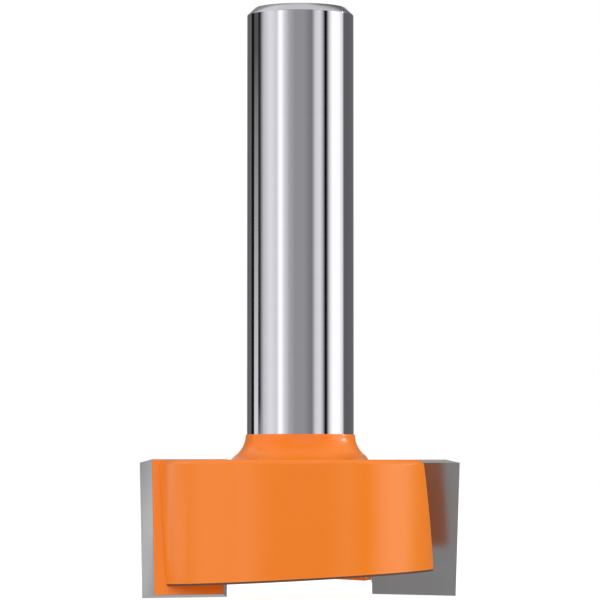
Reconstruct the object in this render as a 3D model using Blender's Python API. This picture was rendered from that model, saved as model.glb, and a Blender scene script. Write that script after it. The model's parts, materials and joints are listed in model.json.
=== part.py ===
"""Surfacing router bit: a two-wing cutter for flattening boards and cutting wide, flat-bottomed grooves.

One steel body, turned with its shank and milled with two gullets, carries two carbide tips that are brazed
to the front faces of its wings. Metres, +Z up. The bit's axis is Z, and it stands on the outer corners of its
bottom cutting edges at z = 0, with the shank up. Seen from above it cuts turning clockwise.
"""

import math

import bmesh
import bpy
from mathutils import Matrix, Vector

# Shank
SHANK_DIAMETER = 0.0127
SHANK_LENGTH = 0.0508
SHANK_END_CHAMFER = 0.0009

# Cutting tips
CUTTING_DIAMETER = 0.0381
CUTTING_HEIGHT = 0.0159
TIP_WIDTH = 0.01005
TIP_THICKNESS = 0.0025
BRAZE_GAP = 0.0001
SHEAR_ANGLE = math.radians(9.0)
HOOK_ANGLE = math.radians(8.0)
EDGE_LAG = 0.00425
SIDE_RELIEF_ANGLE = math.radians(20.0)
BOTTOM_DISH_ANGLE = math.radians(1.1)

# Head and its two wings
WINGS = 2
HEAD_ABOVE_EDGE = 0.0003
TIP_OVERHANG = 0.00175
BACK_FALL = 0.00112
RIM_CHAMFER = 0.00046
GULLET_WIDTH = 0.0079
GULLET_FLARE_ANGLE = math.radians(6.2)
GULLET_CORNER_RADIUS = 0.0035
BOTTOM_CLEARANCE = 0.0013
BOTTOM_RELIEF_ANGLE = math.radians(3.1)

# Neck between the head and the shank
NECK_HEIGHT = 0.00304
NECK_STEP = 0.00014
NECK_FLARE = 0.00245

# Fineness of the round forms
RING_POINTS = 128
FILLET_STEPS = 8
CORNER_STEPS = 8
SECTOR_STEPS = 4
SECTOR_LAP = math.radians(1.0)
SHARP_ANGLE = math.radians(25.0)

SHANK_RADIUS = SHANK_DIAMETER / 2
CUTTING_RADIUS = CUTTING_DIAMETER / 2
LEAD_RADIUS = CUTTING_RADIUS - TIP_OVERHANG
HEAD_TOP = CUTTING_HEIGHT + HEAD_ABOVE_EDGE
NECK_TOP = HEAD_TOP + NECK_HEIGHT
BIT_TOP = NECK_TOP + SHANK_LENGTH
WING_PITCH = 2 * math.pi / WINGS
# A cutter or a tip's blank runs this far past what it cuts or is cut to.
RUN_OUT = 0.004


def clear_scene():
    for obj in list(bpy.data.objects):
        bpy.data.objects.remove(obj, do_unlink=True)


def make_material(name, colour, roughness, metallic):
    material = bpy.data.materials.new(name)
    material.use_nodes = True
    shader = material.node_tree.nodes["Principled BSDF"]
    shader.inputs["Base Color"].default_value = (*colour, 1.0)
    shader.inputs["Roughness"].default_value = roughness
    shader.inputs["Metallic"].default_value = metallic
    return material


def make_object(name, bm, materials=()):
    """Closes off a bmesh as a named object, smooth where it is round and sharp at its corners."""
    bmesh.ops.recalc_face_normals(bm, faces=bm.faces)
    mesh = bpy.data.meshes.new(name)
    bm.to_mesh(mesh)
    bm.free()
    mesh.shade_smooth()
    mesh.set_sharp_from_angle(angle=SHARP_ANGLE)
    for material in materials:
        mesh.materials.append(material)
    obj = bpy.data.objects.new(name, mesh)
    bpy.context.scene.collection.objects.link(obj)
    return obj


def wing_frame():
    """The first wing's frame: origin at the tip's lowest outer corner, X outwards along the rake face,
    Y through the tip from its rake face to its back, and Z up the rake face."""
    corner = Vector((math.sqrt(CUTTING_RADIUS**2 - EDGE_LAG**2), EDGE_LAG, 0.0))
    hook = Matrix.Rotation(-HOOK_ANGLE, 4, "Z")
    shear = Matrix.Rotation(SHEAR_ANGLE, 4, "X")
    return Matrix.Translation(corner) @ hook @ shear


def skin(bm, rings):
    """A closed solid through rings of points, lowest first, each running counter-clockwise from above."""
    bm.faces.new(reversed(rings[0]))
    bm.faces.new(rings[-1])
    for low, high in zip(rings, rings[1:]):
        for i in range(len(low)):
            j = (i + 1) % len(low)
            bm.faces.new((low[i], low[j], high[j], high[i]))


def add_section(bm, outline, height, frame):
    return [bm.verts.new(frame @ Vector((x, y, height))) for x, y in outline]


def grind(bm, point, normal):
    """Takes off all that lies beyond a plane, and closes the cut with a flat face."""
    geometry = bm.verts[:] + bm.edges[:] + bm.faces[:]
    cut = bmesh.ops.bisect_plane(bm, geom=geometry, plane_co=point, plane_no=normal, clear_outer=True)
    edges = [e for e in cut["geom_cut"] if isinstance(e, bmesh.types.BMEdge)]
    bmesh.ops.contextual_create(bm, geom=edges)


# Head, neck and shank


def wing_radius(angle):
    """The steel's radius at an angle behind a wing's cutting edge: its back falls away evenly to the heel."""
    return LEAD_RADIUS - BACK_FALL * (angle % WING_PITCH) / WING_PITCH


def add_ring(bm, z, radius_at):
    ring = []
    for i in range(RING_POINTS):
        angle = 2 * math.pi * (i + 0.5) / RING_POINTS
        radius = radius_at(angle)
        ring.append(bm.verts.new((radius * math.cos(angle), radius * math.sin(angle), z)))
    return ring


def add_round_ring(bm, z, radius):
    return add_ring(bm, z, lambda angle: radius)


def neck_rings(bm):
    """The fillet between head and shank: an arc that starts straight down and spreads to its foot."""
    fillet_radius = (NECK_HEIGHT**2 + NECK_FLARE**2) / (2 * NECK_FLARE)
    sweep = math.asin(NECK_HEIGHT / fillet_radius)
    for i in range(FILLET_STEPS, -1, -1):
        turn = sweep * i / FILLET_STEPS
        spread = fillet_radius * (1 - math.cos(turn))
        yield add_round_ring(bm, NECK_TOP - fillet_radius * math.sin(turn), SHANK_RADIUS + NECK_STEP + spread)


def body_blank(materials):
    """The turned blank: head with its falling wing backs, neck and shank, before the milling."""
    bm = bmesh.new()
    head_rings = [
        add_ring(bm, 0.0, wing_radius),
        add_ring(bm, HEAD_TOP - RIM_CHAMFER, wing_radius),
        add_ring(bm, HEAD_TOP, lambda angle: wing_radius(angle) - RIM_CHAMFER),
        *neck_rings(bm),
    ]
    shank_rings = [
        add_round_ring(bm, NECK_TOP, SHANK_RADIUS),
        add_round_ring(bm, BIT_TOP - SHANK_END_CHAMFER, SHANK_RADIUS),
        add_round_ring(bm, BIT_TOP, SHANK_RADIUS - SHANK_END_CHAMFER),
    ]
    skin(bm, head_rings + shank_rings)
    for face in bm.faces:
        face.material_index = int(face.calc_center_median().z > NECK_TOP)
    return make_object("steel_body", bm, materials)


def gullet_outline(height):
    """A gullet and its tip's seat as one cut, at a height in a wing's frame: from the seat along the end
    wall, round the gullet's corner and out along the heel wall, which leans away from the tip upwards."""
    end_wall = -(TIP_WIDTH + BRAZE_GAP)
    seat = TIP_THICKNESS + BRAZE_GAP
    heel_wall = -(GULLET_WIDTH + height * math.tan(GULLET_FLARE_ANGLE))
    outline = [(RUN_OUT, seat), (end_wall, seat)]
    for i in range(CORNER_STEPS + 1):
        turn = math.pi / 2 * i / CORNER_STEPS
        x = end_wall + GULLET_CORNER_RADIUS * (1 - math.cos(turn))
        y = heel_wall + GULLET_CORNER_RADIUS * (1 - math.sin(turn))
        outline.append((x, y))
    return outline + [(RUN_OUT, heel_wall)]


def make_gullet_cutter(wing):
    bm = bmesh.new()
    heights = (-RUN_OUT, HEAD_TOP + 2 * RUN_OUT)
    skin(bm, [add_section(bm, gullet_outline(height), height, wing_frame()) for height in heights])
    cutter = make_object(f"gullet_cutter_{wing + 1}", bm)
    cutter.rotation_euler.z = wing * WING_PITCH
    return cutter


def make_bottom_cutter(wing):
    """The wing's bottom: a flat that starts just above the tip's bottom edge and rises towards the heel.
    Its cutter laps over the next wing's by a small angle, so that no skin of steel stays between the two."""
    reach = 2 * CUTTING_RADIUS
    sector = [(0.0, 0.0)]
    for i in range(SECTOR_STEPS + 1):
        angle = (WING_PITCH + 2 * SECTOR_LAP) * i / SECTOR_STEPS - SECTOR_LAP
        sector.append((reach * math.cos(angle), reach * math.sin(angle)))
    bm = bmesh.new()
    floor = [bm.verts.new((x, y, -RUN_OUT)) for x, y in sector]
    slope = math.tan(BOTTOM_RELIEF_ANGLE)
    flat = [bm.verts.new((x, y, BOTTOM_CLEARANCE + (CUTTING_RADIUS - x) * slope)) for x, y in sector]
    skin(bm, [floor, flat])
    cutter = make_object(f"bottom_cutter_{wing + 1}", bm)
    cutter.rotation_euler.z = wing * WING_PITCH
    return cutter


def mill(body, cutter):
    cutter.hide_render = True
    cutter.display_type = "WIRE"
    cutter.parent = body
    modifier = body.modifiers.new(cutter.name, "BOOLEAN")
    modifier.operation = "DIFFERENCE"
    modifier.solver = "EXACT"
    modifier.object = cutter


def make_body(coating, ground_steel):
    body = body_blank((coating, ground_steel))
    for wing in range(WINGS):
        mill(body, make_gullet_cutter(wing))
        mill(body, make_bottom_cutter(wing))
    return body


# Carbide tips


def top_corner(frame):
    """Where the top of the rake face meets the cutting circle."""
    outwards = frame.to_3x3() @ Vector((1.0, 0.0, 0.0))
    start = frame @ Vector((0.0, 0.0, CUTTING_HEIGHT / math.cos(SHEAR_ANGLE)))
    along = start.xy.dot(outwards.xy)
    beyond = start.xy.dot(start.xy) - CUTTING_RADIUS**2
    return start + outwards * (math.sqrt(along**2 - beyond) - along)


def tip_mesh():
    """One tip: a flat carbide plate, ground back from its side and bottom cutting edges."""
    frame = wing_frame()
    outline = [(-TIP_WIDTH, 0.0), (RUN_OUT, 0.0), (RUN_OUT, TIP_THICKNESS), (-TIP_WIDTH, TIP_THICKNESS)]
    heights = (-RUN_OUT, CUTTING_HEIGHT / math.cos(SHEAR_ANGLE))
    bm = bmesh.new()
    skin(bm, [add_section(bm, outline, height, frame) for height in heights])

    low, high = frame.translation, top_corner(frame)
    middle = (low + high) / 2
    outwards = Vector((middle.x, middle.y, 0.0)).normalized()
    trailing = Vector((-outwards.y, outwards.x, 0.0))
    behind = trailing * math.cos(SIDE_RELIEF_ANGLE) - outwards * math.sin(SIDE_RELIEF_ANGLE)
    grind(bm, low, behind.cross(high - low))

    inwards = Vector((-math.cos(BOTTOM_DISH_ANGLE), 0.0, math.sin(BOTTOM_DISH_ANGLE)))
    through = Vector((0.0, 1.0, 0.0))
    grind(bm, low, frame.to_3x3() @ inwards.cross(through))
    return bm


def make_tips(body, carbide):
    for wing in range(WINGS):
        tip = make_object(f"carbide_tip_{wing + 1}", tip_mesh(), (carbide,))
        tip.rotation_euler.z = wing * WING_PITCH
        tip.parent = body


def main():
    clear_scene()
    coating = make_material("orange_coating", (0.87, 0.21, 0.02), 0.4, 0.0)
    ground_steel = make_material("ground_steel", (0.62, 0.62, 0.64), 0.18, 1.0)
    carbide = make_material("ground_carbide", (0.28, 0.28, 0.29), 0.35, 1.0)
    body = make_body(coating, ground_steel)
    make_tips(body, carbide)


main()
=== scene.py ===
# %% [markdown]
# # A surfacing router bit, dressed for the camera
# The bit is one turned and milled steel body with two carbide tips brazed to its wings. Its solids come
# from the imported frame, at their real size and place. This lesson adds what the solids leave out: the
# mirror finish of the ground shank, the satin orange coating with its softly rounded edges, the grey
# carbide, the film of paint on the tips' backs and the thread of braze in their seats.

# %% Load the frame
import json
import math

import bpy
from mathutils import Matrix, Vector

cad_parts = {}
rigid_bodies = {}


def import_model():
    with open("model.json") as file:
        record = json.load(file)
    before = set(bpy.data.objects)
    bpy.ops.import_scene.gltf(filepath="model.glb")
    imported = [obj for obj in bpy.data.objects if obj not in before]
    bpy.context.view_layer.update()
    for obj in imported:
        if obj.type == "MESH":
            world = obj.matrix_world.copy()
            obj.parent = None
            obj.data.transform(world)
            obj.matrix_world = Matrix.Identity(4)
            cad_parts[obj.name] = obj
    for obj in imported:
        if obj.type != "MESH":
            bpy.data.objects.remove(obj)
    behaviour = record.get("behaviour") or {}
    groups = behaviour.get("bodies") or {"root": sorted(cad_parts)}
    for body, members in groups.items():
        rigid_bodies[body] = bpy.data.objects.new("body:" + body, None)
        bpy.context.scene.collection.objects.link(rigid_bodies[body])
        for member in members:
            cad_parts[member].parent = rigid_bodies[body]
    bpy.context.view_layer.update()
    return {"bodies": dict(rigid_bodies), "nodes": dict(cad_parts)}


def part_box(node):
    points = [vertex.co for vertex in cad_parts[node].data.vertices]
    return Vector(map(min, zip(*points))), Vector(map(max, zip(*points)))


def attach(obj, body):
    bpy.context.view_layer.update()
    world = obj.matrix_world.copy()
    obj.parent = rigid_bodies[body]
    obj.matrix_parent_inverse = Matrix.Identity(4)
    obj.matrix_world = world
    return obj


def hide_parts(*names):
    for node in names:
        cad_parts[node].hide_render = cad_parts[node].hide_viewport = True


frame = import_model()
body = sorted(frame["bodies"])[0]
print("nodes:", sorted(frame["nodes"]), "on body", body)

# %% [markdown]
# ## Measures
# Everything here is in metres and sits in the frame's own axes: Z is the bit's axis, and it stands on its
# tips at z = 0. A few sizes are read back from the solids, and the rest repeat the sizes that the solids
# were made to, so that each new piece falls exactly on its solid.

# %% Main sizes
MM = 0.001

_, steel_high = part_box("steel_body")
tip_low, tip_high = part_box("carbide_tip_1")

BIT_TOP = steel_high.z
SHANK_RADIUS = 6.35 * MM
SHANK_LENGTH = 50.8 * MM
SHANK_END_CHAMFER = 0.9 * MM
NECK_TOP = BIT_TOP - SHANK_LENGTH
NECK_HEIGHT = 3.04 * MM
HEAD_TOP = NECK_TOP - NECK_HEIGHT
CUTTING_RADIUS = 19.05 * MM
print(f"bit {BIT_TOP / MM:.2f} mm tall, neck from {HEAD_TOP / MM:.2f} to {NECK_TOP / MM:.2f} mm")
print(f"tips from {tip_low.z / MM:.2f} to {tip_high.z / MM:.2f} mm")

# %% [markdown]
# ## Camera
# The photograph was taken with a long lens from almost the height of the cutter, so the shank's end and
# the rim of the head curve only slightly. The camera looks up by less than three degrees. A lens shift
# would do the same without the tilt, but it would push the bit out of the frame in every other view.

# %% Camera
LENS = 223.27
EYE_DISTANCE = 441.9 * MM
EYE_HEIGHT = 14.16 * MM
EYE_SIDE = -0.044 * MM
TILT_UP = math.radians(2.729)
SENSOR_WIDTH = 36.0
NEAREST_SEEN, FARTHEST_SEEN = 0.02, 20.0

camera_data = bpy.data.cameras.new("camera")
camera_data.lens = LENS
camera_data.sensor_width = SENSOR_WIDTH
camera_data.clip_start = NEAREST_SEEN
camera_data.clip_end = FARTHEST_SEEN
camera = bpy.data.objects.new("camera", camera_data)
bpy.context.scene.collection.objects.link(camera)
camera.location = (EYE_SIDE, -EYE_DISTANCE, EYE_HEIGHT)
camera.rotation_euler = (math.pi / 2 + TILT_UP, 0.0, 0.0)
bpy.context.scene.camera = camera
print("camera at", [round(v / MM, 1) for v in camera.location], "mm")

# %% [markdown]
# ## Light
# A mirror-bright cylinder shows the studio and little of itself: each upright band on the shank is a card,
# a soft box or a black flag that stands round the table. The cards could be planes with an emission
# material, but planes have to be kept out of every other view. A sky that is coloured by direction does
# the same job and stays put. The angles run round the bit, from 0 at the camera's side to the right.

# %% Cards round the table
CARDS = (
    # (from, to) in degrees and the two levels there; the first and last have one angle, behind the bit
    ((-170,), (0.55,)),
    ((-161, -134), (0.13, 0.18)),
    ((-131, -101), (0.01, 0.02)),
    ((-97, -91), (0.05, 0.46)),
    ((-86, -70), (0.74, 1.04)),
    ((-62, -53), (1.00, 0.86)),
    ((-45.5, -42), (1.48, 1.48)),
    ((-35, -24), (0.96, 0.55)),
    ((-11, 8), (0.40, 0.40)),
    ((17, 25), (0.31, 0.26)),
    ((33, 43), (0.90, 1.02)),
    ((48, 51), (0.70, 0.38)),
    ((54.5, 58.5), (0.0, 0.0)),
    ((66, 77), (0.95, 1.70)),
    ((92, 102), (1.45, 1.08)),
    ((109, 160), (0.15, 0.17)),
    ((170,), (0.50,)),
)
DOME = (
    (-180, 0.10), (-150, 0.40), (-138, 0.85), (-95, 0.9), (-30, 0.35),
    (30, 0.35), (95, 0.9), (134, 0.60), (150, 0.20), (180, 0.10),
)
ZENITH_LEVEL = 0.78
NADIR_LEVEL = 0.75
CARD_TOP, DOME_FROM = 0.30, 0.52
DOME_TOP, ZENITH_FROM = 0.86, 0.985
CARD_FOOT, NADIR_FROM = -0.40, -0.75
SKY_MAP_WIDTH = 1024

# A Mix node has sockets for every kind of value. These are the places of its colour sockets.
COLOUR_A, COLOUR_B, COLOUR_RESULT = 6, 7, 2


def grey(level):
    return (level, level, level, 1.0)


def add_node(tree, kind, **values):
    """A shader node with its sockets set by name and its properties by attribute."""
    node = tree.nodes.new(kind)
    for name, value in values.items():
        if name in node.inputs:
            node.inputs[name].default_value = value
        else:
            setattr(node, name, value)
    return node


def math_node(tree, operation, *values):
    node = add_node(tree, "ShaderNodeMath", operation=operation)
    for socket, value in zip(node.inputs, values):
        if isinstance(value, bpy.types.NodeSocket):
            tree.links.new(value, socket)
        else:
            socket.default_value = value
    return node.outputs[0]


def add_ramp(tree, value, points):
    """Levels of grey along a value that runs from 0 to 1."""
    ramp = tree.nodes.new("ShaderNodeValToRGB")
    stops = ramp.color_ramp.elements
    while len(stops) < len(points):
        stops.new(1.0)
    for stop, (position, level) in zip(stops, points):
        stop.position = position
        stop.color = grey(level)
    tree.links.new(value, ramp.inputs["Fac"])
    return ramp.outputs["Color"]


def ramp_round(tree, turn, points):
    """Levels of grey by direction. The turn is 0 behind the bit, 0.5 at the camera's side and 1 behind."""
    return add_ramp(tree, turn, [((angle + 180) / 360, level) for angle, level in points])


def fade(tree, height, start, end, first, second):
    """One colour below a height and another above it, with a soft change between."""
    between = add_node(tree, "ShaderNodeMapRange", interpolation_type="SMOOTHSTEP")
    between.inputs["From Min"].default_value = start
    between.inputs["From Max"].default_value = end
    tree.links.new(height, between.inputs["Value"])
    mix = add_node(tree, "ShaderNodeMix", data_type="RGBA")
    tree.links.new(between.outputs["Result"], mix.inputs["Factor"])
    for place, colour in ((COLOUR_A, first), (COLOUR_B, second)):
        if isinstance(colour, bpy.types.NodeSocket):
            tree.links.new(colour, mix.inputs[place])
        else:
            mix.inputs[place].default_value = grey(colour)
    return mix.outputs[COLOUR_RESULT]


def mix_shaders(tree, factor, first, second, output):
    """Leads one shader to the output where the factor is 0, and another where it is 1."""
    mix = tree.nodes.new("ShaderNodeMixShader")
    for value, socket in zip((factor, first, second), mix.inputs):
        tree.links.new(value, socket)
    tree.links.new(mix.outputs[0], output.inputs["Surface"])


def make_sky():
    world = bpy.data.worlds.new("studio")
    world.use_nodes = True
    bpy.context.scene.world = world
    tree = world.node_tree
    tree.nodes.clear()
    axes = tree.nodes.new("ShaderNodeSeparateXYZ")
    tree.links.new(tree.nodes.new("ShaderNodeTexCoord").outputs["Generated"], axes.inputs[0])
    height = axes.outputs["Z"]
    to_camera = math_node(tree, "MULTIPLY", axes.outputs["Y"], -1.0)
    angle = math_node(tree, "ARCTAN2", axes.outputs["X"], to_camera)
    turn = math_node(tree, "MULTIPLY_ADD", angle, 1 / (2 * math.pi), 0.5)

    card_points = [(a, level) for angles, levels in CARDS for a, level in zip(angles, levels)]
    colour = ramp_round(tree, turn, card_points)
    colour = fade(tree, height, CARD_TOP, DOME_FROM, colour, ramp_round(tree, turn, DOME))
    colour = fade(tree, height, DOME_TOP, ZENITH_FROM, colour, ZENITH_LEVEL)
    colour = fade(tree, height, NADIR_FROM, CARD_FOOT, NADIR_LEVEL, colour)

    studio = tree.nodes.new("ShaderNodeBackground")
    tree.links.new(colour, studio.inputs["Color"])
    paper = add_node(tree, "ShaderNodeBackground", Color=grey(1.0))
    seen = tree.nodes.new("ShaderNodeLightPath").outputs["Is Camera Ray"]
    output = tree.nodes.new("ShaderNodeOutputWorld")
    mix_shaders(tree, seen, studio.outputs[0], paper.outputs[0], output)
    world.cycles.sampling_method = "MANUAL"
    world.cycles.sample_map_resolution = SKY_MAP_WIDTH


make_sky()
bpy.context.scene.view_settings.view_transform = "Standard"
print("sky with", len(CARDS), "cards")

# %% [markdown]
# Two strips of paper stand close to the bit on its left. Because they are near, the shank, the head and
# the tip's ground side each see them at another angle, so they can't be part of the sky. The tall one
# glows less and less with height for the shank, and is narrow at its foot, where only the tip needs it.
# The low one is for the head and thins out to nothing above it. Only reflections see them.

# %% Reflectors
TALL_STRIP = (
    # (height, left end, right end, level, cover), with the sizes in millimetres
    (0, -8.0, -3.5, 1.40, 1.0),
    (8, -8.0, -3.5, 1.40, 1.0),
    (20, -8.0, 8.0, 0.95, 1.0),
    (72, -8.0, 8.0, 0.12, 1.0),
    (95, -8.0, 8.0, 0.12, 1.0),
)
LOW_STRIP = (
    (0, -8.0, 8.0, 0.85, 1.0),
    (8, -8.0, 8.0, 0.85, 1.0),
    (24, -8.0, 8.0, 0.85, 0.0),
)
REFLECTORS = (((-59.4 * MM, 17.5 * MM), TALL_STRIP), ((-57.0 * MM, 6.0 * MM), LOW_STRIP))


def keep_out(thing, *rays):
    for ray in rays:
        setattr(thing, f"visible_{ray}", False)


def make_reflector(number, place, rows):
    """An upright strip that faces the bit. Each row has its own ends, glow and cover (0 is clear)."""
    top = rows[-1][0] * MM
    bands = len(rows) - 1
    bpy.ops.object.select_all(action="DESELECT")
    bpy.ops.mesh.primitive_grid_add(x_subdivisions=1, y_subdivisions=bands, size=1.0)
    strip = bpy.context.object
    strip.name = f"reflector_{number}"
    for vertex in strip.data.vertices:
        height, left, right = rows[round((vertex.co.y + 0.5) * bands)][:3]
        vertex.co = Vector((left if vertex.co.x < 0 else right, 0.0, height)) * MM
    facing = math.atan2(place[1], place[0]) + math.pi / 2
    strip.data.transform(Matrix.Translation((*place, 0.0)) @ Matrix.Rotation(facing, 4, "Z"))

    material = bpy.data.materials.new(f"reflector_paper_{number}")
    material.use_nodes = True
    tree = material.node_tree
    tree.nodes.clear()
    axes = tree.nodes.new("ShaderNodeSeparateXYZ")
    tree.links.new(tree.nodes.new("ShaderNodeTexCoord").outputs["Object"], axes.inputs[0])
    share = math_node(tree, "DIVIDE", axes.outputs["Z"], top)
    heights, _, _, levels, covers = zip(*rows)
    shares = [height * MM / top for height in heights]
    glow = tree.nodes.new("ShaderNodeEmission")
    tree.links.new(add_ramp(tree, share, list(zip(shares, levels))), glow.inputs["Color"])
    cover = add_ramp(tree, share, list(zip(shares, covers)))
    clear = tree.nodes.new("ShaderNodeBsdfTransparent")
    output = tree.nodes.new("ShaderNodeOutputMaterial")
    mix_shaders(tree, cover, clear.outputs[0], glow.outputs[0], output)
    strip.data.materials.append(material)
    keep_out(strip, "camera", "diffuse", "shadow", "transmission")


for number, reflector in enumerate(REFLECTORS, start=1):
    make_reflector(number, *reflector)
print("reflectors:", len(REFLECTORS))

# %% [markdown]
# Four broad soft boxes wrap the coating in even light from the front, both sides and above. Reflections
# leave them out, because the cards already stand for what the steel sees. The last light is a small bare
# lamp on the right. It lights next to nothing, but it puts the one bright glint on the neck. The front box
# stands high, because a low one leaves a whitish patch on the head. The right box is slightly green, to
# match the coating's colour on that side.

# %% Lamps
SOFT_BOX_SIZE = 0.45
SOFT_BOXES = (
    # (place in metres, power in watts, colour)
    ((0.05, -0.53, 0.28), 1.75, (1.0, 1.0, 1.0)),
    ((-0.56, 0.10, 0.14), 1.25, (1.0, 1.0, 1.0)),
    ((0.56, 0.10, 0.14), 0.9, (0.78, 1.14, 1.0)),
    ((0.0, -0.15, 0.62), 0.15, (1.0, 1.0, 1.0)),
)
GLINT_LAMP = ((1.663, 0.477, 0.514), 3.0, (1.0, 1.0, 1.0))
GLINT_LAMP_SIZE = 0.13


def add_lamp(name, place, power, colour, size):
    """A square lamp that faces the bit."""
    light = bpy.data.lights.new(name, "AREA")
    light.size = size
    light.energy = power
    light.color = colour
    lamp = bpy.data.objects.new(name, light)
    bpy.context.scene.collection.objects.link(lamp)
    lamp.location = place
    lamp.rotation_euler = Vector(place).to_track_quat("Z", "Y").to_euler()
    return lamp


for number, soft_box in enumerate(SOFT_BOXES, start=1):
    keep_out(add_lamp(f"soft_box_{number}", *soft_box, SOFT_BOX_SIZE), "glossy")
add_lamp("glint_lamp", *GLINT_LAMP, GLINT_LAMP_SIZE)
print("lamps:", len(SOFT_BOXES) + 1)

# %% [markdown]
# The floor is a sheet of pale paper, lit a little from below like a light table, so that it stays white
# round the bit and only a breath of shadow shows at the tips. Reflections and bounced light leave it out:
# steel that mirrors plain white paper looks like chalk, and the cards of the sky reach below the horizon
# instead. Seen from below the paper is clear, so the bottom of the bit can be looked at too.


# %% Floor
def make_material(name, colour, roughness, metallic=0.0):
    material = bpy.data.materials.new(name)
    material.use_nodes = True
    shader = material.node_tree.nodes["Principled BSDF"]
    shader.inputs["Base Color"].default_value = (*colour, 1.0)
    shader.inputs["Roughness"].default_value = roughness
    shader.inputs["Metallic"].default_value = metallic
    return material


FLOOR_SIZE = 8.0
FLOOR_GAP = 0.02 * MM
FLOOR_GREY = 0.3
FLOOR_GLOW = 0.93


def make_floor():
    bpy.ops.object.select_all(action="DESELECT")
    bpy.ops.mesh.primitive_plane_add(size=FLOOR_SIZE, location=(0, 0, -FLOOR_GAP))
    floor = bpy.context.object
    floor.name = "floor"
    paper = make_material("floor_paper", (FLOOR_GREY,) * 3, roughness=1.0)
    tree = paper.node_tree
    shader = tree.nodes["Principled BSDF"]
    shader.inputs["Specular IOR Level"].default_value = 0.0
    shader.inputs["Emission Color"].default_value = grey(1.0)
    shader.inputs["Emission Strength"].default_value = FLOOR_GLOW
    from_below = tree.nodes.new("ShaderNodeNewGeometry").outputs["Backfacing"]
    clear = tree.nodes.new("ShaderNodeBsdfTransparent")
    mix_shaders(tree, from_below, shader.outputs[0], clear.outputs[0], tree.nodes["Material Output"])
    floor.data.materials.append(paper)
    keep_out(floor, "diffuse", "glossy")


make_floor()

# %% [markdown]
# ## Finishes
# Five finishes cover the bit, the last of them a dark brown that paints the shade under the head's bottom
# edges. Each is a Principled shader whose pattern reads Object coordinates, because those stay on the
# surface when the bit or the camera turns. A pattern is stretched where the real marks are: a grinding
# wheel leaves hair-fine rings round a shank, and straight lines on a flat tip.


# %% Pattern helpers
def object_pattern(material, stretch, detail=2.0):
    """A noise pattern on Object coordinates, in marks a metre along each axis."""
    tree = material.node_tree
    place = tree.nodes.new("ShaderNodeTexCoord")
    mapping = add_node(tree, "ShaderNodeMapping", Scale=stretch)
    noise = add_node(tree, "ShaderNodeTexNoise", Scale=1.0, Detail=detail, Roughness=0.5)
    tree.links.new(place.outputs["Object"], mapping.inputs["Vector"])
    tree.links.new(mapping.outputs["Vector"], noise.inputs["Vector"])
    return noise.outputs["Fac"]


def drive(material, socket, value):
    shader = material.node_tree.nodes["Principled BSDF"]
    material.node_tree.links.new(value, shader.inputs[socket])


def vary_colour(material, pattern, first, second):
    tree = material.node_tree
    node = add_node(tree, "ShaderNodeMix", data_type="RGBA")
    tree.links.new(pattern, node.inputs["Factor"])
    node.inputs[COLOUR_A].default_value = (*first, 1.0)
    node.inputs[COLOUR_B].default_value = (*second, 1.0)
    drive(material, "Base Color", node.outputs[COLOUR_RESULT])


def vary_roughness(material, pattern, low, high, start=0.3, end=0.7):
    """Roughness that runs from low to high while the pattern runs from start to end."""
    tree = material.node_tree
    node = tree.nodes.new("ShaderNodeMapRange")
    tree.links.new(pattern, node.inputs["Value"])
    for name, value in (("From Min", start), ("From Max", end), ("To Min", low), ("To Max", high)):
        node.inputs[name].default_value = value
    drive(material, "Roughness", node.outputs["Result"])


def add_bump(material, pattern, depth, strength):
    tree = material.node_tree
    bump = add_node(tree, "ShaderNodeBump", Strength=strength, Distance=depth)
    tree.links.new(pattern, bump.inputs["Height"])
    drive(material, "Normal", bump.outputs["Normal"])


# %% Ground steel
def ground_steel_finish():
    """Cylindrical grinding: near a mirror, with rings so fine that they only blur it along the axis."""
    material = make_material("ground_steel_finish", (0.67, 0.66, 0.71), 0.05, metallic=1.0)
    rings = object_pattern(material, (8.0, 8.0, 2600.0), detail=0.0)
    tone = object_pattern(material, (12.0, 12.0, 900.0))
    vary_colour(material, tone, (0.66, 0.65, 0.70), (0.695, 0.685, 0.733))
    vary_roughness(material, tone, 0.035, 0.06)
    add_bump(material, rings, depth=0.001 * MM, strength=0.1)
    return material


# %% Orange coating
def orange_coating_finish():
    """A sprayed and baked coating: satin, even in colour, with a trace of orange peel."""
    material = make_material("orange_coating_finish", (0.87, 0.204, 0.006), 0.26)
    cloud = object_pattern(material, (140.0, 140.0, 140.0), detail=1.0)
    vary_colour(material, cloud, (0.86, 0.2, 0.005), (0.88, 0.208, 0.007))
    vary_roughness(material, cloud, 0.23, 0.268, start=0.0, end=1.0)
    peel = object_pattern(material, (1900.0, 1900.0, 1900.0), detail=1.0)
    add_bump(material, peel, depth=0.006 * MM, strength=0.2)
    return material


# %% Ground carbide
def ground_carbide_finish():
    """Diamond-ground carbide: darker than steel, with straight fine lines along the grinding stroke."""
    material = make_material("ground_carbide_finish", (0.42, 0.42, 0.425), 0.16, metallic=0.85)
    lines = object_pattern(material, (60.0, 60.0, 9000.0), detail=1.0)
    patch = object_pattern(material, (300.0, 300.0, 500.0), detail=3.0)
    vary_colour(material, patch, (0.40, 0.40, 0.403), (0.44, 0.44, 0.445))
    vary_roughness(material, patch, 0.14, 0.18, start=0.0, end=1.0)
    add_bump(material, lines, depth=0.002 * MM, strength=0.12)
    return material


# %% Braze
def braze_finish():
    """Silver braze that has flowed into the joint and frozen with a soft grain."""
    material = make_material("braze_finish", (0.74, 0.68, 0.56), 0.35, metallic=1.0)
    grain = object_pattern(material, (2600.0, 2600.0, 2600.0))
    vary_colour(material, grain, (0.66, 0.60, 0.48), (0.80, 0.75, 0.64))
    add_bump(material, grain, depth=0.01 * MM, strength=0.4)
    return material
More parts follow.
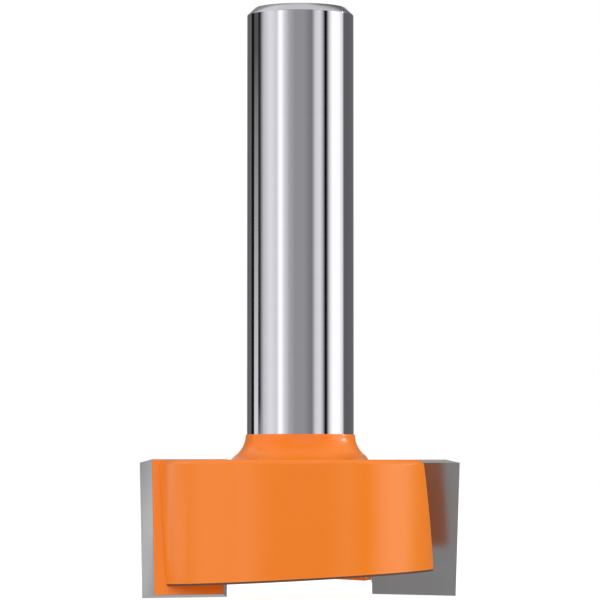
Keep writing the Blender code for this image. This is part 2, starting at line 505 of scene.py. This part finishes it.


# %% Painted shade on the bottom edges
def painted_edge_shade_finish():
    """Painted shade for the round under the head's bottom rim: a dull dark brown where the underside turns
    from the light.
    """
    material = make_material("painted_edge_shade_finish", (0.11, 0.04, 0.018), 0.5)
    shade_grain = object_pattern(material, (900.0, 900.0, 900.0))
    vary_colour(material, shade_grain, (0.09, 0.03, 0.014), (0.15, 0.055, 0.025))
    return material


steel_finish = ground_steel_finish()
coating_finish = orange_coating_finish()
carbide_finish = ground_carbide_finish()
silver_finish = braze_finish()
# The last finish is painted shade: a dark brown for the rounds under the head's bottom edges.
painted_rim_shade = painted_edge_shade_finish()
print("materials:", len(bpy.data.materials))

# %% [markdown]
# ## Modelling helpers
# Blender's operators act on what is selected, so each step clears the selection and picks its faces or
# edges by where they are. A finished piece keeps its place in its mesh, with its object at the origin.


# %% Selection helpers
NEAR = 0.01 * MM
VERY_NEAR = 0.001 * MM
FACING = 0.99
SMOOTH_ANGLE = math.radians(35)


def start_piece(name):
    """Names the primitive that was just added, and moves its place into its mesh."""
    piece = bpy.context.object
    piece.name = name
    piece.data.name = name
    bpy.ops.object.transform_apply(location=True, rotation=True, scale=True)
    return piece


def only(piece):
    bpy.ops.object.select_all(action="DESELECT")
    piece.select_set(True)
    bpy.context.view_layer.objects.active = piece


def pick(piece, test, kind="FACE"):
    """In edit mode, selects just the faces or edges that pass the test, and counts them."""
    bpy.ops.mesh.select_mode(type=kind)
    bpy.ops.mesh.select_all(action="DESELECT")
    bpy.ops.object.mode_set(mode="OBJECT")
    parts = {"FACE": piece.data.polygons, "EDGE": piece.data.edges}[kind]
    count = 0
    for part in parts:
        part.select = test(part)
        count += part.select
    bpy.ops.object.mode_set(mode="EDIT")
    return count


def edge_points(piece, edge):
    return [piece.data.vertices[i].co for i in edge.vertices]


def radius_of(point):
    return math.hypot(point.x, point.y)


def apply_modifier(piece, kind, **settings):
    modifier = piece.modifiers.new(kind.lower(), kind)
    for name, value in settings.items():
        setattr(modifier, name, value)
    only(piece)
    bpy.ops.object.modifier_apply(modifier=modifier.name)


def finish_piece(piece, material, smooth=True, second=None):
    """Shades the piece, gives it its finish and lets it ride on its body. A second finish goes to the
    faces that were given material 1."""
    only(piece)
    if smooth:
        bpy.ops.object.shade_smooth_by_angle(angle=SMOOTH_ANGLE)
    while len(piece.data.materials) < (2 if second else 1):
        piece.data.materials.append(None)
    piece.data.materials[0] = material
    if second:
        piece.data.materials[1] = second
    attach(piece, body)
    print(f"{piece.name}: {len(piece.data.polygons)} faces")


# %% [markdown]
# ## The shank
# The shank is ground to size between centres, after the end has been chamfered so that it slips into a
# collet. It starts as a cylinder, because nothing else is needed for its round, and the chamfer is a
# bevel on the end's edge. A second, hair-wide bevel breaks the two corners that the first one leaves.

# %% Ground shank
SHANK_SIDES = 192
SHANK_SINK = 0.2 * MM
CORNER_BREAK = 0.05 * MM

shank_bottom = NECK_TOP - SHANK_SINK
bpy.ops.object.select_all(action="DESELECT")
bpy.ops.mesh.primitive_cylinder_add(
    vertices=SHANK_SIDES,
    radius=SHANK_RADIUS,
    depth=BIT_TOP - shank_bottom,
    location=(0, 0, (BIT_TOP + shank_bottom) / 2),
)
shank = start_piece("ground_shank")
bpy.ops.object.mode_set(mode="EDIT")


def on_end(edge):
    return all(point.z > BIT_TOP - NEAR for point in edge_points(shank, edge))


def on_corner(edge):
    first, second = edge_points(shank, edge)
    level = abs(first.z - second.z) < NEAR
    return level and first.z > BIT_TOP - SHANK_END_CHAMFER - NEAR


pick(shank, on_end, "EDGE")
bpy.ops.mesh.bevel(offset=SHANK_END_CHAMFER, offset_type="OFFSET", segments=1, affect="EDGES")
pick(shank, on_corner, "EDGE")
bpy.ops.mesh.bevel(offset=CORNER_BREAK, offset_type="OFFSET", segments=2, affect="EDGES")
bpy.ops.object.mode_set(mode="OBJECT")
only(shank)
bpy.ops.object.shade_smooth_by_angle(angle=SMOOTH_ANGLE)
apply_modifier(shank, "WEIGHTED_NORMAL", weight=100, keep_sharp=True)
finish_piece(shank, steel_finish, smooth=False)

# %% [markdown]
# ## The head
# The head is turned, its wing backs are ground to fall away behind each tip, and two gullets and two
# inclined bottom flats are milled into it. The same order works here: a disc is drawn up into the turned
# blank, its wall is pulled in along the backs, and cutters take out the gullets and flats. Last comes a
# fine round on every edge. On the real bit that is the coating itself, which draws thin and round there.

# %% Turned blank
LEAD_RADIUS = 17.3 * MM
BACK_FALL = 1.12 * MM
RIM_CHAMFER = 0.46 * MM
RIM_REACH = 0.05 * MM
AXIS_REACH = 0.5 * MM
NECK_STEP = 0.14 * MM
NECK_FLARE = 2.45 * MM
HEAD_SIDES = 256
NECK_STEPS = 14

neck_foot = SHANK_RADIUS + NECK_STEP + NECK_FLARE
bpy.ops.object.select_all(action="DESELECT")
bpy.ops.mesh.primitive_circle_add(vertices=HEAD_SIDES, radius=LEAD_RADIUS, fill_type="NGON")
head = start_piece("coated_head")
bpy.ops.object.mode_set(mode="EDIT")
bpy.ops.mesh.select_all(action="SELECT")
bpy.ops.mesh.extrude_region_move(TRANSFORM_OT_translate={"value": (0, 0, HEAD_TOP)})


def end_cap(height):
    """The level face round the axis, at this height or above."""
    return lambda face: (
        face.center.z > height - VERY_NEAR
        and abs(face.normal.z) > FACING
        and radius_of(face.center) < AXIS_REACH
    )


pick(head, end_cap(HEAD_TOP))
bpy.ops.mesh.inset(thickness=LEAD_RADIUS - neck_foot)

fillet_radius = (NECK_HEIGHT**2 + NECK_FLARE**2) / (2 * NECK_FLARE)
fillet_sweep = math.asin(NECK_HEIGHT / fillet_radius)


def neck_point(step):
    """Height and radius on the fillet, from its foot (step 0) to the shank."""
    turn = fillet_sweep * (1 - step / NECK_STEPS)
    rise = NECK_HEIGHT - fillet_radius * math.sin(turn)
    return HEAD_TOP + rise, SHANK_RADIUS + NECK_STEP + fillet_radius * (1 - math.cos(turn))


for step in range(NECK_STEPS):
    (low_z, low_r), (high_z, high_r) = neck_point(step), neck_point(step + 1)
    pick(head, end_cap(low_z))
    bpy.ops.mesh.extrude_region_move(TRANSFORM_OT_translate={"value": (0, 0, high_z - low_z)})
    shrink = high_r / low_r
    bpy.ops.transform.resize(value=(shrink, shrink, 1.0), center_override=(0, 0, high_z))


def on_rim(edge):
    points = edge_points(head, edge)
    return all(radius_of(p) > LEAD_RADIUS - RIM_REACH and p.z > HEAD_TOP - NEAR for p in points)


pick(head, on_rim, "EDGE")
bpy.ops.mesh.bevel(offset=RIM_CHAMFER, offset_type="OFFSET", segments=1, affect="EDGES")
bpy.ops.object.mode_set(mode="OBJECT")

for point in (vertex.co for vertex in head.data.vertices):
    if radius_of(point) > LEAD_RADIUS - 2 * RIM_CHAMFER:
        behind = (math.atan2(point.y, point.x) % math.pi) / math.pi
        pulled = 1 - BACK_FALL * behind / radius_of(point)
        point.x *= pulled
        point.y *= pulled
print("blank:", len(head.data.polygons), "faces")


# %% [markdown]
# The gullet cutter is a block in the tip's own frame, which is turned by the hook angle and leaned by the
# shear angle. Its heel side leans away upwards, and its inner upright edge gets the round of the milling
# cutter. The second gullet is the first one turned by half a turn.

# %% Wing frame and gullet cutter
EDGE_LAG = 4.25 * MM
HOOK_ANGLE = math.radians(8.0)
SHEAR_ANGLE = math.radians(9.0)
TIP_WIDTH = 10.05 * MM
TIP_THICKNESS = 2.5 * MM
BRAZE_GAP = 0.1 * MM
GULLET_WIDTH = 7.9 * MM
GULLET_FLARE = math.tan(math.radians(6.2))
GULLET_CORNER = 3.5 * MM
RUN_OUT = 4.0 * MM
CORNER_SEGMENTS = 14

edge_corner = Vector((math.sqrt(CUTTING_RADIUS**2 - EDGE_LAG**2), EDGE_LAG, 0.0))
wing_frame = (
    Matrix.Translation(edge_corner)
    @ Matrix.Rotation(-HOOK_ANGLE, 4, "Z")
    @ Matrix.Rotation(SHEAR_ANGLE, 4, "X")
)
HALF_TURN = Matrix.Rotation(math.pi, 4, "Z")


def frame_of(wing):
    """The frame of the first wing (0), or of the second (1), half a turn on."""
    return Matrix.Rotation(math.pi * wing, 4, "Z") @ wing_frame


def add_block(name, low, high):
    """A box between two corners, with its place in its mesh."""
    bpy.ops.object.select_all(action="DESELECT")
    middle = (Vector(low) + Vector(high)) / 2
    bpy.ops.mesh.primitive_cube_add(size=1.0, location=middle, scale=Vector(high) - Vector(low))
    return start_piece(name)


def gullet_cutter():
    low_z, high_z = -RUN_OUT, HEAD_TOP + 2 * RUN_OUT
    end_wall = -(TIP_WIDTH + BRAZE_GAP)
    block = add_block(
        "gullet_cutter",
        (end_wall, -GULLET_WIDTH, low_z),
        (RUN_OUT, TIP_THICKNESS + BRAZE_GAP, high_z),
    )
    for vertex in block.data.vertices:
        if vertex.co.y < 0:
            vertex.co.y = -(GULLET_WIDTH + vertex.co.z * GULLET_FLARE)
    bpy.ops.object.mode_set(mode="EDIT")

    def inner_corner(edge):
        points = edge_points(block, edge)
        return all(p.x < end_wall + NEAR and p.y < 0 for p in points)

    pick(block, inner_corner, "EDGE")
    bpy.ops.mesh.bevel(
        offset=GULLET_CORNER, offset_type="OFFSET", segments=CORNER_SEGMENTS, affect="EDGES"
    )
    bpy.ops.object.mode_set(mode="OBJECT")
    block.data.transform(wing_frame)
    return block


# %% Bottom cutter
BOTTOM_CLEARANCE = 1.3 * MM
BOTTOM_SLOPE = math.tan(math.radians(3.1))
SECTOR_LAP = 0.05 * MM


def flat_height(out):
    """Height of a bottom flat at this distance out along its wing."""
    return BOTTOM_CLEARANCE + (CUTTING_RADIUS - out) * BOTTOM_SLOPE


def bottom_cutter():
    """Cuts under the wing on the +Y side, up to a plane that rises from its tip towards its heel."""
    reach = 2 * CUTTING_RADIUS
    block = add_block("bottom_cutter", (-reach, -SECTOR_LAP, -RUN_OUT), (reach, reach, 0.0))
    for vertex in block.data.vertices:
        if vertex.co.z > -RUN_OUT / 2:
            vertex.co.z = flat_height(vertex.co.x)
    return block


# %% Milling
EDGE_ROUND = 0.08 * MM
EDGE_ROUND_STEPS = 3
EDGE_MERGE = 0.12 * MM
BOTTOM_ROUND = 0.25 * MM
BOTTOM_ROUND_STEPS = 4
SHARP = math.radians(25)
SORT_FROM = Vector((0.137, 0.071, 0.053))


def mill(piece, cutter):
    apply_modifier(piece, "BOOLEAN", operation="DIFFERENCE", solver="EXACT", object=cutter)


for make_cutter in (gullet_cutter, bottom_cutter):
    cutter = make_cutter()
    for wing in range(2):
        mill(head, cutter)
        cutter.data.transform(HALF_TURN)
    bpy.data.objects.remove(cutter)
print("milled:", len(head.data.polygons), "faces")

# Merging close points depends on their order, which changes from run to run. So they are put in order
# of distance from one odd place first.
bpy.context.scene.cursor.location = SORT_FROM
only(head)
bpy.ops.object.mode_set(mode="EDIT")
bpy.ops.mesh.select_all(action="SELECT")
bpy.ops.mesh.sort_elements(type="CURSOR_DISTANCE", elements={"VERT", "EDGE", "FACE"})
bpy.ops.mesh.select_mode(type="EDGE")
bpy.ops.mesh.select_all(action="DESELECT")
bpy.ops.mesh.edges_select_sharp(sharpness=SHARP)
bpy.ops.mesh.remove_doubles(threshold=EDGE_MERGE)


def on_bottom_rim(edge):
    """True for the edges where the wall meets a bottom flat."""
    points = edge_points(head, edge)
    flats = [flat_height(math.copysign(1, p.y) * p.x) for p in points]
    on_flat = all(abs(p.z - flat) < 2 * NEAR for p, flat in zip(points, flats))
    return on_flat and all(radius_of(p) > LEAD_RADIUS - BACK_FALL - RIM_REACH for p in points)


# The round on the bottom rim gets the second material, a dark brown that paints the shade under the head's
# edge.
head.data.materials.append(coating_finish)
head.data.materials.append(painted_rim_shade)
print("bottom rim:", pick(head, on_bottom_rim, "EDGE"), "edges")
bpy.ops.mesh.bevel(
    offset=BOTTOM_ROUND, offset_type="OFFSET", segments=BOTTOM_ROUND_STEPS, affect="EDGES", material=1
)
bpy.ops.mesh.select_mode(type="EDGE")
bpy.ops.mesh.select_all(action="DESELECT")
bpy.ops.mesh.edges_select_sharp(sharpness=SHARP)
bpy.ops.object.mode_set(mode="OBJECT")
bpy.ops.object.shade_smooth()

# Where a gullet runs out into the neck the edge stays crisp; all others get their round.
weights = head.data.attributes.new("bevel_weight_edge", "FLOAT", "EDGE")
for edge in head.data.edges:
    heights = [point.z for point in edge_points(head, edge)]
    on_neck = max(heights) > HEAD_TOP + NEAR and min(heights) < NECK_TOP - NEAR
    weights.data[edge.index].value = float(edge.select and not on_neck)
    edge.use_edge_sharp = edge.select and on_neck
apply_modifier(
    head,
    "BEVEL",
    width=EDGE_ROUND,
    segments=EDGE_ROUND_STEPS,
    limit_method="WEIGHT",
    use_clamp_overlap=False,
)
apply_modifier(head, "WEIGHTED_NORMAL", weight=100, keep_sharp=True)
finish_piece(head, coating_finish, smooth=False, second=painted_rim_shade)
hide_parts("steel_body")
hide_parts("steel_body")

# %% [markdown]
# ## The tips
# The tips keep their solids, whose sharp ground faces are right as they are, and get the carbide finish.
# The bit was sprayed after brazing and then sharpened, so the backs of the tips kept their paint and every
# ground face is bare. The paint is the tip's own back face, copied off and given a thickness.

# %% Carbide finish on the solids
for tip_name in ("carbide_tip_1", "carbide_tip_2"):
    tip = frame["nodes"][tip_name]
    tip.data.materials.clear()
    tip.data.materials.append(carbide_finish)

# %% Paint on the tips' backs
PAINT_THICKNESS = 0.035 * MM
BARE_EDGE = 0.04 * MM


def copy_of_node(node, name):
    """A merged copy of a solid, as a new object of its own."""
    mesh = frame["nodes"][node].data.copy()
    piece = bpy.data.objects.new(name, mesh)
    bpy.context.scene.collection.objects.link(piece)
    only(piece)
    bpy.ops.object.mode_set(mode="EDIT")
    bpy.ops.mesh.select_all(action="SELECT")
    bpy.ops.mesh.remove_doubles(threshold=VERY_NEAR)
    bpy.ops.object.mode_set(mode="OBJECT")
    return piece


def paint_tip_back(wing):
    through = (frame_of(wing).to_3x3() @ Vector((0, 1, 0))).normalized()
    film = copy_of_node(f"carbide_tip_{wing + 1}", f"tip_paint_{wing + 1}")
    bpy.ops.object.mode_set(mode="EDIT")
    pick(film, lambda face: face.normal.dot(through) < FACING)
    bpy.ops.mesh.delete(type="FACE")
    bpy.ops.mesh.select_all(action="SELECT")
    bpy.ops.mesh.dissolve_limited(angle_limit=math.radians(1))
    bpy.ops.mesh.select_mode(type="FACE")
    bpy.ops.mesh.select_all(action="SELECT")
    bpy.ops.mesh.inset(thickness=BARE_EDGE)
    bpy.ops.mesh.select_all(action="INVERT")
    bpy.ops.mesh.delete(type="FACE")
    bpy.ops.object.mode_set(mode="OBJECT")
    apply_modifier(film, "SOLIDIFY", thickness=PAINT_THICKNESS, offset=1.0)
    finish_piece(film, coating_finish)


for wing in range(2):
    paint_tip_back(wing)

# %% [markdown]
# ## The braze
# The braze is a film a tenth of a millimetre thick between tip and seat. It shows only as a bright thread
# round the joint, so a thin angle is enough: one leaf behind the tip and one at its inner end. It stops
# short of the steel's edges, as braze does when it draws back into the joint.

# %% Braze films
BRAZE_CLEARANCE = 0.01 * MM
BRAZE_RECESS = 0.35 * MM
STEEL_EDGE = 3.6 * MM


def braze_film(wing):
    low_z, high_z = BOTTOM_CLEARANCE + BRAZE_RECESS, HEAD_TOP - BRAZE_RECESS / 2
    back_low = TIP_THICKNESS + PAINT_THICKNESS + BRAZE_CLEARANCE
    back_high = TIP_THICKNESS + BRAZE_GAP - BRAZE_CLEARANCE
    leaf = add_block(
        f"braze_film_{wing + 1}",
        (-TIP_WIDTH - BRAZE_GAP + BRAZE_CLEARANCE, back_low, low_z),
        (-STEEL_EDGE, back_high, high_z),
    )
    bpy.ops.object.mode_set(mode="EDIT")
    inner = -TIP_WIDTH - BRAZE_CLEARANCE

    pick(leaf, lambda face: face.normal.y < -FACING)
    bpy.ops.mesh.bisect(plane_co=(inner, 0, 0), plane_no=(1, 0, 0), threshold=VERY_NEAR)
    pick(leaf, lambda face: face.normal.y < -FACING and face.center.x < inner)
    bpy.ops.mesh.extrude_region_move(TRANSFORM_OT_translate={"value": (0, -back_low, 0)})
    bpy.ops.mesh.select_all(action="SELECT")
    bpy.ops.mesh.normals_make_consistent(inside=False)
    bpy.ops.object.mode_set(mode="OBJECT")
    leaf.data.transform(frame_of(wing))
    finish_piece(leaf, silver_finish)


for wing in range(2):
    braze_film(wing)
